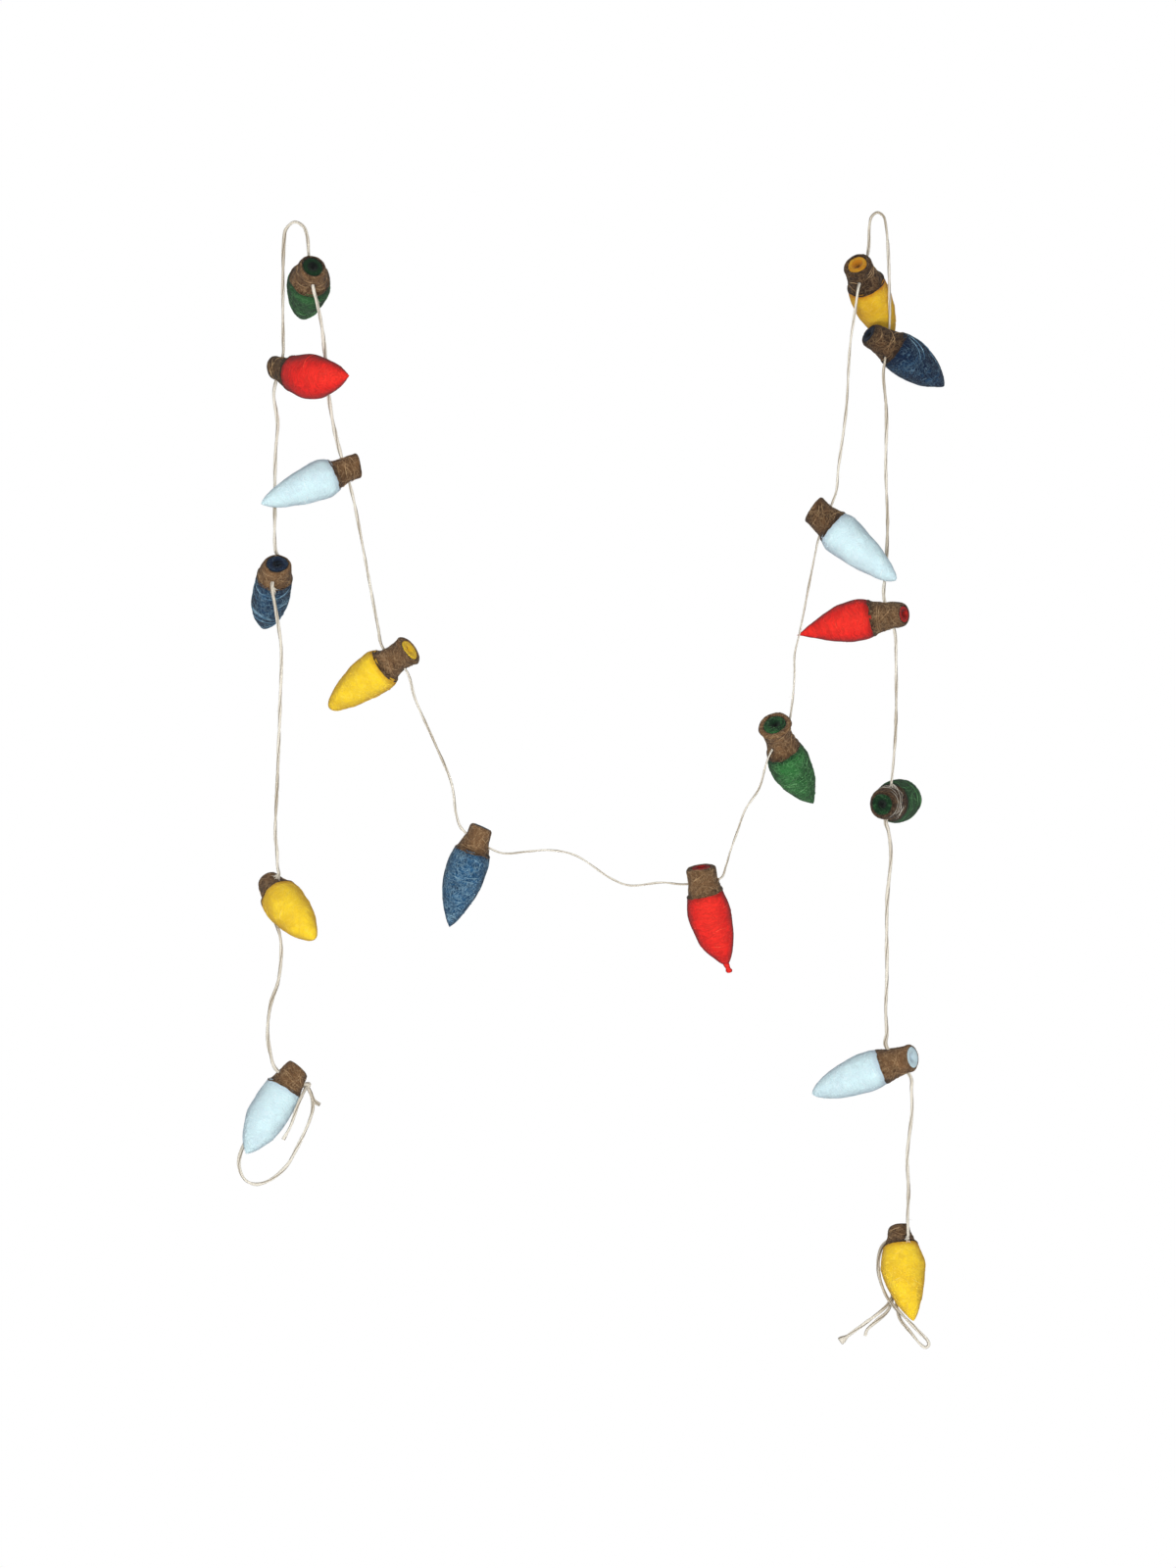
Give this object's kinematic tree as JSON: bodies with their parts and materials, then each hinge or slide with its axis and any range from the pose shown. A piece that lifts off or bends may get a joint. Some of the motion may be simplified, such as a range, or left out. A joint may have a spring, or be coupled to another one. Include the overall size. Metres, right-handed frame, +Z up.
{
  "type": "felt light bulb garland",
  "caption": "Long festive garland of wool felt light bulbs with brown felt caps, threaded on jute twine that hangs in loops from two pegs.",
  "frame": {"origin": "underside of the twine where the left peg carries it", "axes": "+X to the right peg, +Y away from the viewer, +Z up"},
  "size_m": [0.3701, 0.068, 0.5949],
  "materials": {
    "felt_pale": "pale aqua wool felt",
    "felt_yellow": "golden yellow wool felt",
    "felt_blue": "deep blue wool felt with paler wisps",
    "felt_red": "bright red wool felt",
    "felt_green": "forest green wool felt",
    "felt_brown": "brown wool felt with tan fibres",
    "jute": "cream jute twine of two plies"
  },
  "bodies": {
    "root": {"bulb_01_body": "felt_pale", "bulb_01_cap": "felt_brown", "bulb_02_body": "felt_yellow", "bulb_02_cap": "felt_brown", "bulb_03_body": "felt_blue", "bulb_03_cap": "felt_brown", "bulb_04_body": "felt_red", "bulb_04_cap": "felt_brown", "bulb_05_body": "felt_green", "bulb_05_cap": "felt_brown", "bulb_06_body": "felt_pale", "bulb_06_cap": "felt_brown", "bulb_07_body": "felt_yellow", "bulb_07_cap": "felt_brown", "bulb_08_body": "felt_blue", "bulb_08_cap": "felt_brown", "bulb_09_body": "felt_red", "bulb_09_cap": "felt_brown", "bulb_10_body": "felt_green", "bulb_10_cap": "felt_brown", "bulb_11_body": "felt_pale", "bulb_11_cap": "felt_brown", "bulb_12_body": "felt_yellow", "bulb_12_cap": "felt_brown", "bulb_13_body": "felt_blue", "bulb_13_cap": "felt_brown", "bulb_14_body": "felt_red", "bulb_14_cap": "felt_brown", "bulb_15_body": "felt_green", "bulb_15_cap": "felt_brown", "bulb_16_body": "felt_pale", "bulb_16_cap": "felt_brown", "bulb_17_body": "felt_yellow", "bulb_17_cap": "felt_brown", "twine": "jute"}
  },
  "joints": []
}
